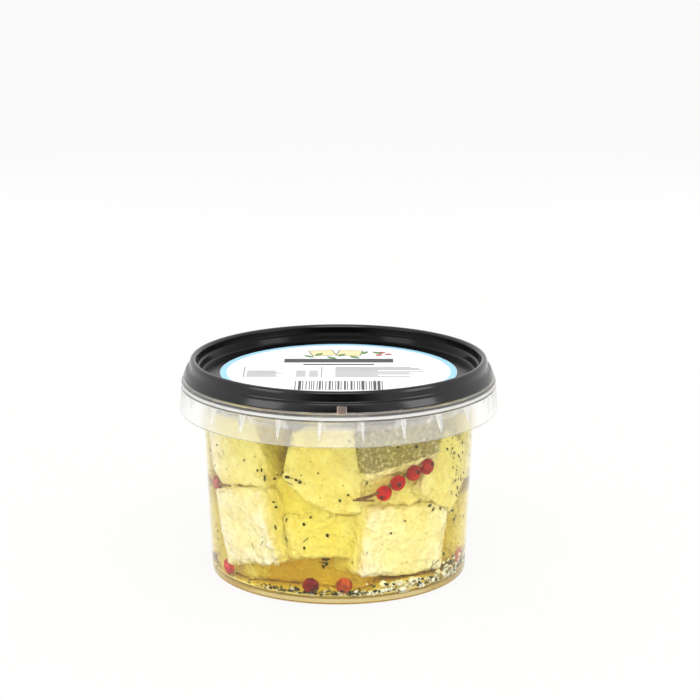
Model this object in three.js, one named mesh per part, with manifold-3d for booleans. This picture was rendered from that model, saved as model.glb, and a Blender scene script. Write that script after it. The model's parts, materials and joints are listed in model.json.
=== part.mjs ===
// A round tub of marinated feta: a clear tapered cup with a hanging ribbed collar, a black
// lid with a sunken panel and a round paper label, and feta cubes in oil inside, with a
// sprig of pink peppercorns and a few loose ones. Millimetres, +Z up, origin at the centre
// of the base.

import * as THREE from 'three';
import { mergeVertices } from 'three/addons/utils/BufferGeometryUtils.js';
import Module from 'manifold-3d';

const wasm = await Module();
wasm.setup();

// Overall sizes
const SIDES = 48;
const GAP = 0.35;

// Tub wall, from the base edge up to the neck
const WALL = 0.8;
const BASE_RADIUS = 39.45;
const BASE_CORNER = 0.7;
const WALL_TOP_RADIUS = 41.3;
const WALL_TOP_Z = 45;
const NECK_RADIUS = 41.55;
const NECK_Z = 51;

// Base panel, held up by a foot ring
const FLOOR_UNDER_Z = 1.5;
const FLOOR_Z = 2.3;
const FOOT_INNER_RADIUS = 37.5;
const FOOT_OUTER_RADIUS = 38.7;

// Flange, collar and mouth of the tub
const COLLAR_RADIUS = 48.7;
const COLLAR_TOP_RADIUS = 48.25;
const COLLAR_BOTTOM_Z = 50.7;
const BEAD_Z = 58.4;
const FLANGE_UNDER_Z = 59;
const FLANGE_Z = 60.35;
const MOUTH_RADIUS = 45.9;
const MOUTH_Z = 62.2;
const MOUTH_WALL = 0.7;

// Ribs between the flange and the collar
const RIB_COUNT = 24;
const RIB_FOOT_THICKNESS = 0.4;
const RIB_TOP_THICKNESS = 1.1;
const RIB_FOOT_Z = 52.2;
const RIB_PHASE = 8.7;

// Locating lug of the tub, which stands in a notch of the lid
const LUG_X = 1.2;
const LUG_WIDTH = 2.1;
const NOTCH_WIDTH = 2.8;
const NOTCH_TOP_Z = 62.85;

// Lid
const LID_RADIUS = 47.5;
const LID_BOTTOM_Z = 60.75;
const LEDGE_Z = 63.3;
const LEDGE_RADIUS = 46.35;
const RIM_Z = 66.45;
const RIM_OUTER_RADIUS = 45.5;
const RIM_INNER_RADIUS = 43.4;
const LID_WALL = 0.75;
const PANEL_Z = 61.5;
const PANEL_RADIUS = 41.4;

// Label on the lid panel
const LABEL_RADIUS = 36.3;
const LABEL_THICKNESS = 0.15;
const LABEL_GAP = 0.05;

// Feta cubes. azimuth is counted from the front (-Y) towards +X, reach is the distance of
// the outer face from the tub's axis, yaw and roll turn the cube about the vertical and
// about its own outward direction.
const CUBE_EDGE = 1.6;
const CUBE_WOBBLE = 0.35;
const CUBES = [
  { azimuth: -48, reach: 37.7, z: 20.2, width: 22, depth: 19, height: 23.8, yaw: 0, roll: 13 },
  { azimuth: 33.5, reach: 35.9, z: 17.6, width: 28, depth: 18, height: 21.5, yaw: 0, roll: -5 },
  { azimuth: -8, reach: 31, z: 19.5, width: 21, depth: 15, height: 14, yaw: 4, roll: 2 },
  { azimuth: -4, reach: 33.5, z: 42, width: 23, depth: 20, height: 28, yaw: -3, roll: -9 },
  { azimuth: -60, reach: 37.4, z: 43.6, width: 23, depth: 20, height: 24.4, yaw: 19, roll: 9 },
  { azimuth: 29.5, reach: 36.4, z: 47.5, width: 25, depth: 15, height: 16.6, yaw: 0, roll: 9 },
  { azimuth: 61, reach: 34.6, z: 35, width: 21, depth: 20, height: 22, yaw: 0, roll: -36 },
  { azimuth: -24, reach: 30, z: 30, width: 22, depth: 14, height: 14, yaw: 0, roll: 10 },
  { azimuth: 27, reach: 33.2, z: 33.6, width: 20, depth: 15, height: 12, yaw: 0, roll: -3 },
  { azimuth: 98, reach: 37, z: 14.1, width: 23, depth: 20, height: 21, yaw: 8, roll: -5 },
  { azimuth: 152, reach: 37.2, z: 15.4, width: 22, depth: 21, height: 22, yaw: -7, roll: 8 },
  { azimuth: -154, reach: 37, z: 13.9, width: 23, depth: 19, height: 20, yaw: 5, roll: -6 },
  { azimuth: -97, reach: 36.8, z: 15.4, width: 23, depth: 20, height: 22, yaw: -9, roll: 6 },
  { azimuth: 122, reach: 36.4, z: 42, width: 23, depth: 20, height: 26, yaw: 11, roll: -7 },
  { azimuth: 178, reach: 36.8, z: 43.3, width: 22, depth: 20, height: 23.6, yaw: -12, roll: 10 },
  { azimuth: -126, reach: 36.5, z: 42.4, width: 22, depth: 21, height: 24.8, yaw: 6, roll: -11 },
  { azimuth: 80, reach: 12, z: 44.5, width: 21, depth: 22, height: 22, yaw: 5, roll: 6 },
  { azimuth: -20, reach: 24, z: 8.3, width: 37, depth: 17, height: 11.6, yaw: 2, roll: -2 },
  { azimuth: -64, reach: 31, z: 6.6, width: 20, depth: 14, height: 8, yaw: -3, roll: 4 },
  { azimuth: -92, reach: 36.6, z: 43, width: 19, depth: 18, height: 25, yaw: -5, roll: 6 },
  { azimuth: 91, reach: 36.6, z: 42.5, width: 19, depth: 18, height: 26, yaw: 6, roll: -8 },
];
const CORE_RADIUS = 20;
const CORE_SIDES = 10;
const CORE_Z = [6, 46];

// Pink peppercorns that lie against the inside of the wall, each as [azimuth, height]:
// the four on the sprig, then the loose ones. The stalk's points have an inset too, which
// is the distance of its centre line from the wall.
const BERRY_RADIUS = 2.45;
const SPRIG_BERRIES = [[20.5, 33.6], [27, 36.2], [35, 38.5], [42.5, 39.6]];
const LOOSE_BERRIES = [[-69, 30.3], [-61, 5.2], [-12.6, 5.2], [2.7, 5.5], [71.7, 6.8]];
const STALK_RADIUS = 0.5;
const STALK_POINTS = [
  [7.8, 32.4, 1.5],
  [14.5, 33.4, 1.6],
  [21, 35.2, 2.2],
  [28.8, 37.7, 2.9],
  [36.8, 39.9, 2.9],
  [43.5, 41.2, 2.8],
];

function toSolid(geometry) {
  const bare = geometry.clone();
  bare.deleteAttribute('normal');
  bare.deleteAttribute('uv');
  const welded = mergeVertices(bare, 1e-4);
  const position = welded.getAttribute('position');
  const corners = [0, 1, 2].map(() => new THREE.Vector3());
  const faces = [];
  let volume = 0;
  for (let i = 0; i < welded.index.count; i += 3) {
    const face = [0, 1, 2].map((k) => welded.index.getX(i + k));
    if (new Set(face).size < 3) continue;
    face.forEach((vertex, k) => corners[k].fromBufferAttribute(position, vertex));
    volume += corners[0].dot(corners[1].clone().cross(corners[2]));
    faces.push(face);
  }
  const outward = volume > 0 ? faces : faces.map(([a, b, c]) => [a, c, b]);
  return new wasm.Manifold(new wasm.Mesh({
    numProp: 3,
    vertProperties: new Float32Array(position.array),
    triVerts: new Uint32Array(outward.flat()),
  }));
}

function toGeometry(solid) {
  const mesh = solid.getMesh();
  const geometry = new THREE.BufferGeometry();
  const corners = new Float32Array(mesh.vertProperties);
  geometry.setAttribute('position', new THREE.BufferAttribute(corners, 3));
  geometry.setIndex(new THREE.BufferAttribute(new Uint32Array(mesh.triVerts), 1));
  geometry.computeVertexNormals();
  return geometry;
}

// A closed profile of [radius, height] points, turned about the vertical axis
function lathe(profile, sides = SIDES) {
  const points = profile.map(([radius, height]) => new THREE.Vector2(radius, height));
  if (profile[0][0] > 0) points.push(points[0].clone());
  return toSolid(new THREE.LatheGeometry(points, sides).rotateX(Math.PI / 2));
}

function box(low, high) {
  const size = high.map((value, i) => value - low[i]);
  const centre = high.map((value, i) => (value + low[i]) / 2);
  return toSolid(new THREE.BoxGeometry(...size).translate(...centre));
}

function outerWallRadius(z) {
  const rise = (z - BASE_CORNER) / (WALL_TOP_Z - BASE_CORNER);
  return BASE_RADIUS + (WALL_TOP_RADIUS - BASE_RADIUS) * rise;
}

function besideWall(azimuth, z, inset) {
  const angle = THREE.MathUtils.degToRad(azimuth);
  const radius = outerWallRadius(z) - WALL - inset;
  return new THREE.Vector3(radius * Math.sin(angle), -radius * Math.cos(angle), z);
}

// The inside of the tub from its floor to the slope under the mouth, drawn in by a clearance
function innerProfile(clearance) {
  const inset = WALL + clearance;
  return [
    [37.3, FLOOR_Z + clearance],
    [38.4 - clearance, FLOOR_Z + 0.7 + clearance],
    [outerWallRadius(5) - inset, 5],
    [WALL_TOP_RADIUS - inset, WALL_TOP_Z],
    [NECK_RADIUS - inset, NECK_Z],
    [41.75 - inset, 53.8],
    [42.0 - clearance, 56.0],
    [44.4 - clearance, 57.9],
  ];
}

function makeTub() {
  const mouthInner = MOUTH_RADIUS - MOUTH_WALL;
  const outside = [
    [0, FLOOR_UNDER_Z],
    [FOOT_INNER_RADIUS - 0.5, FLOOR_UNDER_Z],
    [FOOT_INNER_RADIUS, 0],
    [FOOT_OUTER_RADIUS, 0],
    [BASE_RADIUS - 0.2, 0.22],
    [BASE_RADIUS, BASE_CORNER],
    [WALL_TOP_RADIUS, WALL_TOP_Z],
    [NECK_RADIUS, NECK_Z],
    [41.75, 53.8],
    [42.9, 55.6],
    [45.2, 57.6],
    [MOUTH_RADIUS, FLANGE_UNDER_Z],
    [COLLAR_TOP_RADIUS - 1.1, FLANGE_UNDER_Z],
    [COLLAR_TOP_RADIUS - 0.75, FLANGE_UNDER_Z - 0.4],
    [COLLAR_RADIUS - 0.85, COLLAR_BOTTOM_Z + 0.2],
    [COLLAR_RADIUS - 0.65, COLLAR_BOTTOM_Z],
    [COLLAR_RADIUS - 0.1, COLLAR_BOTTOM_Z],
    [COLLAR_RADIUS, COLLAR_BOTTOM_Z + 0.25],
    [COLLAR_TOP_RADIUS, BEAD_Z - 0.3],
    [COLLAR_TOP_RADIUS - 0.25, BEAD_Z],
    [COLLAR_TOP_RADIUS, BEAD_Z + 0.3],
    [COLLAR_TOP_RADIUS - 0.15, BEAD_Z + 1.1],
    [COLLAR_TOP_RADIUS - 0.65, FLANGE_Z - 0.25],
    [COLLAR_TOP_RADIUS - 1.35, FLANGE_Z],
    [MOUTH_RADIUS, FLANGE_Z],
    [MOUTH_RADIUS, MOUTH_Z - 0.2],
    [MOUTH_RADIUS - 0.2, MOUTH_Z],
    [mouthInner, MOUTH_Z],
    [mouthInner, FLANGE_UNDER_Z],
  ];
  const inside = innerProfile(0).reverse();
  let tub = lathe([...outside, ...inside, [0, FLOOR_Z]]);
  for (const rib of makeRibs()) tub = tub.add(rib);
  return tub.add(box(
    [LUG_X - LUG_WIDTH / 2, -COLLAR_TOP_RADIUS + 1.3, FLANGE_Z - 0.3],
    [LUG_X + LUG_WIDTH / 2, -MOUTH_RADIUS + 0.3, MOUTH_Z],
  ));
}

// Thin triangular webs that hang under the flange, inside the collar, thinner at the foot
function makeRibs() {
  const web = new THREE.Shape([
    [COLLAR_TOP_RADIUS - 0.6, FLANGE_UNDER_Z + 0.3],
    [MOUTH_RADIUS - 0.4, FLANGE_UNDER_Z + 0.3],
    [MOUTH_RADIUS - 0.7, FLANGE_UNDER_Z - 0.9],
    [COLLAR_RADIUS - 1.6, RIB_FOOT_Z + 1.6],
    [COLLAR_RADIUS - 0.75, RIB_FOOT_Z],
    [COLLAR_RADIUS - 0.45, RIB_FOOT_Z],
  ].map(([radius, height]) => new THREE.Vector2(radius, height)));
  const flat = new THREE.ExtrudeGeometry(web, { depth: 1, bevelEnabled: false })
    .translate(0, 0, -0.5)
    .rotateX(Math.PI / 2);
  const position = flat.getAttribute('position');
  const rise = FLANGE_UNDER_Z + 0.3 - RIB_FOOT_Z;
  for (let i = 0; i < position.count; i += 1) {
    const share = (position.getZ(i) - RIB_FOOT_Z) / rise;
    const thickness = RIB_FOOT_THICKNESS + (RIB_TOP_THICKNESS - RIB_FOOT_THICKNESS) * share;
    position.setY(i, position.getY(i) * thickness);
  }
  return Array.from({ length: RIB_COUNT }, (_, i) => {
    const azimuth = THREE.MathUtils.degToRad(RIB_PHASE + (360 / RIB_COUNT) * i - 90);
    return toSolid(flat.clone().rotateZ(azimuth));
  });
}

function makeLid() {
  const top = [
    [0, PANEL_Z],
    [PANEL_RADIUS, PANEL_Z],
    [PANEL_RADIUS + 0.6, PANEL_Z + 0.3],
    [PANEL_RADIUS + 1.1, PANEL_Z + 2],
    [RIM_INNER_RADIUS - 0.2, PANEL_Z + 2.25],
    [RIM_INNER_RADIUS, RIM_Z - 0.8],
    [RIM_INNER_RADIUS + 0.35, RIM_Z - 0.2],
    [RIM_INNER_RADIUS + 0.9, RIM_Z],
    [RIM_OUTER_RADIUS - 0.6, RIM_Z - 0.1],
    [RIM_OUTER_RADIUS - 0.2, RIM_Z - 0.5],
    [RIM_OUTER_RADIUS, RIM_Z - 1.2],
    [RIM_OUTER_RADIUS + 0.2, LEDGE_Z + 0.35],
    [RIM_OUTER_RADIUS + 0.4, LEDGE_Z],
    [LEDGE_RADIUS, LEDGE_Z],
    [LEDGE_RADIUS + 0.35, LEDGE_Z - 0.25],
    [LID_RADIUS, LID_BOTTOM_Z + 0.3],
    [LID_RADIUS - 0.05, LID_BOTTOM_Z],
  ];
  const under = [
    [LID_RADIUS - LID_WALL, LID_BOTTOM_Z],
    [LEDGE_RADIUS - 0.1, LEDGE_Z - LID_WALL],
    [RIM_OUTER_RADIUS - 0.5, LEDGE_Z - LID_WALL],
    [RIM_OUTER_RADIUS - LID_WALL, LEDGE_Z],
    [RIM_OUTER_RADIUS - LID_WALL - 0.1, RIM_Z - LID_WALL],
    [RIM_INNER_RADIUS + LID_WALL, RIM_Z - LID_WALL],
    [RIM_INNER_RADIUS + LID_WALL, LEDGE_Z],
    [PANEL_RADIUS + 1.8, PANEL_Z + 1.3],
    [PANEL_RADIUS + 1.3, PANEL_Z - 0.3],
    [PANEL_RADIUS + 0.5, PANEL_Z - LID_WALL],
    [0, PANEL_Z - LID_WALL],
  ];
  const notch = box(
    [LUG_X - NOTCH_WIDTH / 2, -LID_RADIUS - 1, LID_BOTTOM_Z - 1],
    [LUG_X + NOTCH_WIDTH / 2, -MOUTH_RADIUS, NOTCH_TOP_Z],
  );
  return lathe([...top, ...under]).subtract(notch);
}

function makeLabel() {
  const low = PANEL_Z + LABEL_GAP;
  const high = low + LABEL_THICKNESS;
  return lathe([[0, low], [LABEL_RADIUS, low], [LABEL_RADIUS, high], [0, high]]);
}

// A block with rounded edges: its outer ring of vertices is drawn in to the edge radius,
// and slow waves leave no face quite flat
function cubeGeometry(width, depth, height, seed) {
  const half = [width / 2, depth / 2, height / 2];
  const block = new THREE.BoxGeometry(2, 2, 2, 3, 3, 3);
  const position = block.getAttribute('position');
  for (let i = 0; i < position.count; i += 1) {
    const unit = [position.getX(i), position.getY(i), position.getZ(i)];
    const inner = unit.map((value, k) => Math.sign(value) * (half[k] - CUBE_EDGE));
    const outward = new THREE.Vector3(...unit.map((value) => Math.trunc(value * 1.01)));
    outward.setLength(CUBE_EDGE);
    const point = inner.map((value, k) => value + outward.getComponent(k));
    position.setXYZ(i, ...point.map((value, k) => {
      const phase = point[(k + 1) % 3] * 0.35 + point[(k + 2) % 3] * 0.27;
      return value + CUBE_WOBBLE * Math.sin(seed * 2.7 + k * 1.9 + phase);
    }));
  }
  return block;
}

function makeCube({ azimuth, reach, z, width, depth, height, yaw, roll }, seed) {
  return toSolid(cubeGeometry(width, depth, height, seed)
    .rotateY(THREE.MathUtils.degToRad(-roll))
    .rotateZ(THREE.MathUtils.degToRad(yaw))
    .translate(0, depth / 2 - reach, z)
    .rotateZ(THREE.MathUtils.degToRad(azimuth)));
}

// The pile of cubes round a hidden core, kept clear of the tub and of the peppercorns. The
// crumbs that these cuts leave loose are dropped.
function makeHeap() {
  const [coreLow, coreHigh] = CORE_Z;
  const core = [[0, coreLow], [CORE_RADIUS, coreLow], [CORE_RADIUS, coreHigh], [0, coreHigh]];
  let heap = lathe(core, CORE_SIDES);
  CUBES.forEach((cube, seed) => {
    heap = heap.add(makeCube(cube, seed));
  });
  const room = innerProfile(GAP);
  heap = heap.intersect(lathe([[0, room[0][1]], ...room, [0, room[room.length - 1][1]]]));
  for (const place of LOOSE_BERRIES) heap = heap.subtract(makeBerry(place, GAP));
  heap = heap.subtract(makeSprig(GAP));
  return heap.decompose().sort((a, b) => b.volume() - a.volume())[0];
}

function makeBerry([azimuth, z], clearance = 0) {
  const centre = besideWall(azimuth, z, BERRY_RADIUS + GAP);
  return toSolid(new THREE.IcosahedronGeometry(BERRY_RADIUS + clearance, 1).translate(...centre));
}

function makeSprig(clearance = 0) {
  const radius = STALK_RADIUS + clearance;
  const section = new THREE.Shape(Array.from({ length: 6 }, (_, i) => {
    const angle = (Math.PI / 3) * i;
    return new THREE.Vector2(radius * Math.cos(angle), radius * Math.sin(angle));
  }));
  const path = new THREE.CatmullRomCurve3(STALK_POINTS.map((point) => besideWall(...point)));
  let sprig = toSolid(new THREE.ExtrudeGeometry(section, { steps: 14, extrudePath: path }));
  for (const place of SPRIG_BERRIES) sprig = sprig.add(makeBerry(place, clearance));
  return sprig;
}

const MATERIALS = {
  clearPlastic: new THREE.MeshStandardMaterial({
    color: '#e8ebe8', roughness: 0.25, metalness: 0, transparent: true, opacity: 0.35,
  }),
  blackPlastic: new THREE.MeshStandardMaterial({ color: '#1b1b1c', roughness: 0.45, metalness: 0 }),
  paper: new THREE.MeshStandardMaterial({ color: '#f4f5f7', roughness: 0.7, metalness: 0 }),
  feta: new THREE.MeshStandardMaterial({ color: '#f5edb4', roughness: 0.6, metalness: 0 }),
  berry: new THREE.MeshStandardMaterial({ color: '#c8372a', roughness: 0.45, metalness: 0 }),
};

const group = new THREE.Group();

function addNode(name, solid, material) {
  const mesh = new THREE.Mesh(toGeometry(solid), material);
  mesh.name = name;
  group.add(mesh);
}

addNode('tub', makeTub(), MATERIALS.clearPlastic);
addNode('lid', makeLid(), MATERIALS.blackPlastic);
addNode('lid_label', makeLabel(), MATERIALS.paper);
addNode('feta_heap', makeHeap(), MATERIALS.feta);
addNode('peppercorn_sprig', makeSprig(), MATERIALS.berry);
LOOSE_BERRIES.forEach((place, i) => {
  addNode(`peppercorn_${i + 1}`, makeBerry(place), MATERIALS.berry);
});

export default group;
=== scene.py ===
"""A round tub of marinated feta in oil, dressed for rendering round its CAD frame."""

import json
import math
import random

import bmesh
import bpy
from bpy.props import FloatProperty, FloatVectorProperty, IntProperty, PointerProperty
from mathutils import Matrix, Vector, noise
from mathutils.bvhtree import BVHTree

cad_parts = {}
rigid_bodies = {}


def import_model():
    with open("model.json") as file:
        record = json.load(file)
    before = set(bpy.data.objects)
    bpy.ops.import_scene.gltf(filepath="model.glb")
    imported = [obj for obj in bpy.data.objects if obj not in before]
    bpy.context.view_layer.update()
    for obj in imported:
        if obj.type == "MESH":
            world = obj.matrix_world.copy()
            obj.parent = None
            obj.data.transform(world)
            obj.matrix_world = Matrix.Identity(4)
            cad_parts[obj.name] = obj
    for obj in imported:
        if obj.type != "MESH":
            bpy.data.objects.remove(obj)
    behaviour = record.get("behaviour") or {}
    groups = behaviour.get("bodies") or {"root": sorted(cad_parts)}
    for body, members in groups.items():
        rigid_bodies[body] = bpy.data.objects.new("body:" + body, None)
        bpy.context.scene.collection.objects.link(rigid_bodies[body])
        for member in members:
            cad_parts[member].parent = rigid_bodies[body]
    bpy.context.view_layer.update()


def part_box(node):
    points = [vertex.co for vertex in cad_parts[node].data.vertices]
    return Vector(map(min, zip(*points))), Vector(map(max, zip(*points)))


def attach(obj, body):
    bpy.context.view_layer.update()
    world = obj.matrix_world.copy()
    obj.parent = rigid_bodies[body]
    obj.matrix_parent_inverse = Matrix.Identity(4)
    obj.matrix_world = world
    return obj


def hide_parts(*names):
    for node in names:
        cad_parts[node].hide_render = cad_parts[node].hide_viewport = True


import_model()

bl_info = {
    "name": "Marinated Feta Tub",
    "version": (1, 0, 0),
    "blender": (4, 5, 0),
    "location": "View3D > Sidebar > Feta Tub",
    "description": "Builds a clear tub of feta cubes, herbs and pink peppercorns in oil",
    "category": "Object",
}

MM = 0.001
_, TUB_HIGH = (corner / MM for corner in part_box("tub"))
LID_LOW, LID_HIGH = (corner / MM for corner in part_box("lid"))
LABEL_LOW, LABEL_HIGH = (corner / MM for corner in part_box("lid_label"))

# The tub's wall, in millimetres
WALL = 0.8
BASE_RADIUS = 39.45
BASE_CORNER = 0.7
WALL_TOP = (41.3, 45.0)
NECK = (41.55, 51.0)
SHOULDER = (41.75, 53.8)
MOUTH_SLOPE = [(42.0, 56.0), (44.4, 57.9)]
FLOOR_Z = 2.3
FLOOR_UNDER_Z = 1.5
FOOT_RADII = (37.5, 38.7)

# Flange, collar and mouth
COLLAR_RADIUS = TUB_HIGH.x
COLLAR_TOP_RADIUS = COLLAR_RADIUS - 0.45
COLLAR_BOTTOM_Z = 50.7
BEAD_Z = 58.4
FLANGE_UNDER_Z = 59.0
FLANGE_Z = 60.35
MOUTH_RADIUS = 45.9
MOUTH_Z = TUB_HIGH.z
RIB_COUNT = 24
RIB_THICKNESS = (0.4, 1.1)
RIB_FOOT_Z = 52.2
RIB_PHASE = 8.7
LUG_X = 1.2
LUG_WIDTH = 2.1
NOTCH_WIDTH = 2.8
NOTCH_TOP_Z = 62.85

# Lid
LID_RADIUS = LID_HIGH.x
LID_BOTTOM_Z = LID_LOW.z
RIM_Z = LID_HIGH.z
LEDGE = (46.35, 63.3)
RIM_OUTER_RADIUS = 45.5
RIM_INNER_RADIUS = 43.4
LID_WALL = 0.75
PANEL_Z = 61.5
PANEL_RADIUS = 41.4

# Feta cubes, and how far they stay clear of the tub and the peppercorns
CUBE_EDGE = 1.6
CUBE_WOBBLE = 0.35
TUB_CLEARANCE = 0.12
BERRY_CLEARANCE = 0.15


def cube(azimuth, reach, z, size, yaw=0, roll=0, **wear):
    """The azimuth from the front towards +X, the outer face's reach from the axis, and wear.

    Wear is a broken corner, a dusted face, a stained face whose tint is partly spice and partly
    painted shade, or cuts: chipped corners, each a direction across the outer face and how far out
    it stays.
    """
    return {"azimuth": azimuth, "reach": reach, "z": z, "size": size, "yaw": yaw, "roll": roll,
            **wear}


# The first nine and the two lowest show from the front, and the rest is beside and behind
CUBES = [
    cube(-48, 37.7, 20.2, (22, 19, 23.8), roll=13, broken=(1, -1, -1)),
    cube(33.5, 35.9, 17.6, (28, 18, 21.5), roll=-5, cuts=[(0.42, 0.91, 12.7)]),
    cube(-8, 31, 19.5, (21, 15, 14), yaw=4, roll=2),
    cube(-4, 33.5, 42, (23, 20, 28), yaw=-3, roll=-9, cuts=[(-0.58, -0.81, 12), (-0.8, 0.6, 14)]),
    cube(-60, 37.4, 43.6, (23, 20, 24.4), yaw=19, roll=9, cuts=[(-0.7, -0.71, 12.2)]),
    cube(29.5, 36.4, 47.5, (25, 15, 16.6), roll=9, dusted=True),
    cube(61, 34.6, 35, (21, 20, 22), roll=-36),
    cube(-24, 30, 30, (22, 14, 14), roll=10),
    cube(27, 33.2, 33.6, (20, 15, 12), roll=-3),
    cube(98, 37, 14.1, (23, 20, 21), yaw=8, roll=-5),
    cube(152, 37.2, 15.4, (22, 21, 22), yaw=-7, roll=8, broken=(-1, -1, -1)),
    cube(-154, 37, 13.9, (23, 19, 20), yaw=5, roll=-6),
    cube(-97, 36.8, 15.4, (23, 20, 22), yaw=-9, roll=6, cuts=[(0.6, 0.8, 12.5)]),
    cube(122, 36.4, 42, (23, 20, 26), yaw=11, roll=-7, cuts=[(-0.7, -0.71, 12.5)]),
    cube(178, 36.8, 43.3, (22, 20, 23.6), yaw=-12, roll=10),
    cube(-126, 36.5, 42.4, (22, 21, 24.8), yaw=6, roll=-11, broken=(1, -1, -1)),
    cube(80, 12, 44.5, (21, 22, 22), yaw=5, roll=6),
    # Its tint is partly a spice stain and partly painted shade under the cube above it
    cube(-20, 24, 8.3, (37, 17, 11.6), yaw=2, roll=-2, stained=True),
    cube(-64, 31, 6.6, (20, 14, 8), yaw=-3, roll=4),
    cube(-92, 36.6, 43, (19, 18, 25), yaw=-5, roll=6),
    cube(91, 36.6, 42.5, (19, 18, 26), yaw=6, roll=-8),
]
CORE = {"radius": 8, "low": 15, "high": 45}
CURD_RADIUS = 37.2
CURD_MOUND = {"azimuth": 36, "half_width": 22, "height": 2.6}
# Ground herbs on the dusted cube, above a line that rises towards +X and frays
DUST_SLOPE = 0.18
DUST_FRAY = 3.5
DUST_LINE = (39.6, 40.3)

# Herb bits on the front cubes as (azimuth, height, length), flat leaves first, then bits of
# stem. Zones of azimuth and height hold the rest, on the cheese and on the floor. A bit sinks
# in from the wall until it meets the cheese, or is left out if that is too deep.
FRONT_DEPTH = 20
USUAL_DEPTH = 12
FRONT_LEAVES = [
    (-31.1, 27.8, 1.4), (-26, 24.1, 1.5), (-14.3, 25.2, 1.2), (-17.1, 23.2, 1.1), (-5.5, 20, 1.2),
    (-16.9, 16.1, 1.5), (0.9, 31.4, 1.0), (4.8, 33.1, 0.9), (13.4, 36.6, 1.6), (7.1, 26.5, 0.8),
    (-30.4, 21.8, 1.5), (24.3, 20.9, 0.9), (31.8, 23.8, 0.8), (-46.7, 40.9, 0.8),
    (-35.7, 36.5, 1.7), (-33.4, 36.1, 1.2), (-23.6, 38, 1.5), (-19.8, 37.2, 1.3),
    (-17.9, 36.6, 1.2), (68.8, 29.1, 1.8), (67.9, 26.7, 1.2), (64.3, 22.5, 1.7),
    (66.9, 31.3, 1.4), (51.2, 25.4, 1.5), (45.2, 27.1, 1.3), (47.1, 25.7, 1.4),
    (36.8, 46.3, 1.4), (58.6, 42.7, 1.2), (-9.4, 39.6, 0.6), (-32, 29.4, 1.0),
]
FRONT_STEMS = [
    (-26.1, 18.1, 1.6), (-16.4, 18.3, 2.4), (-41.2, 15, 2.2), (-59.6, 41.6, 2.0),
    (-62.4, 40.2, 2.0), (-35.5, 16.8, 1.6), (47.1, 8.1, 3.4), (49.2, 8.7, 2.6), (12.6, 15.8, 0.8),
]
HERB_ZONES = [
    dict(azimuth=(62, 300), z=(5, 53), count=330, length=(0.5, 1.4)),
    dict(azimuth=(-60, 62), z=(6, 53), count=90, length=(0.25, 0.6)),
    dict(azimuth=(62, 76), z=(18, 48), count=30, length=(0.6, 1.6), deepest=16),
    dict(azimuth=(-40, -14), z=(36, 39), count=12, length=(0.6, 1.6), deepest=16),
    dict(azimuth=(5, 50), z=(47, 53), count=26, length=(0.6, 1.5)),
    dict(azimuth=(-11, -6), z=(8.6, 11.6), count=10, length=(1.0, 1.9), deepest=22),
    dict(azimuth=(-34, -25), z=(39, 53), count=60, length=(0.4, 1.1), deepest=26),
]
FLOOR_ZONES = [
    dict(azimuth=(-180, 180), inset=(0, 14), heap=0.6, count=150, length=(0.4, 1.2), crumbs=0.2),
    dict(azimuth=(-180, 180), inset=(0, 1.5), heap=1.2, count=110, length=(0.4, 1.3), crumbs=0.3),
    dict(azimuth=(6, 66), inset=(0, 1.6), heap=3.2, count=120, length=(1.0, 2.4), crumbs=0.45),
    dict(azimuth=(18, 68), inset=(1.2, 2.4), heap=3.0, count=24, length=(2.2, 3.6), crumbs=1.0),
    dict(azimuth=(56, 80), inset=(0, 3), heap=5.5, count=60, length=(1.0, 2.4), crumbs=0.6),
    dict(azimuth=(-34, 8), inset=(0, 2.0), heap=1.6, count=80, length=(0.8, 2.0), crumbs=0.15),
]

# Peppercorns against the wall as (azimuth, height), and a stalk's points with an inset too
BERRY_RADIUS = 2.45
CONTENT_GAP = 0.35
SPRIG_BERRIES = [(20.5, 33.6), (27, 36.2), (35, 38.5), (42.5, 39.6)]
LOOSE_BERRIES = [(-69, 30.3), (-61, 5.2), (-12.6, 5.2), (2.7, 5.5), (71.7, 6.8)]
LOOSE_SKINS = [
    ("dull_red_peppercorn", "#C9564A", "#A8382C"),
    ("red_peppercorn", "#D9200F", "#A8140C"),
    ("dark_cut_peppercorn", "#9A2016", "#4E0F10"),
    ("orange_peppercorn", "#CE5A1E", "#8F2F10"),
    ("faded_peppercorn", "#D98B7C", "#BE6A5C"),
]
BERRY_LEFTOVER_STEM = [(-67, 30.3, 1.2), (-60, 31.4, 0.9), (-53, 32.2, 0.7)]
STALK_RADIUS = 0.5
FORK_RADIUS = 0.3
STALK_FORK = [(6.2, 32.4, 1.0), (10.5, 32.2, 1.0), (15.8, 31.8, 1.4)]
STALK_POINTS = [
    (7.8, 32.4, 1.5),
    (14.5, 33.4, 1.6),
    (21, 35.2, 2.2),
    (28.8, 37.7, 2.9),
    (36.8, 39.9, 2.9),
    (43.5, 41.2, 2.8),
]

# Materials of one piece, in the order that its operator lists them
CLEAR, MILKY, WETTED, WHITE_PAINTED_HIGHLIGHT, BASE_PAINTED_OIL_LIGHT, LUG_PAINTED_SHADE, GROOVE_PAINTED_SHADE = range(7)
BORDER_INK, LEAF_INK, BERRY_INK, BLACK_INK, CREAM_INK = range(5)
SKIN, SCAR, WOOD, BROWNER_SKIN = range(4)
POLYPROPYLENE_IOR = 1.49
OIL_IOR = 1.47

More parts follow.
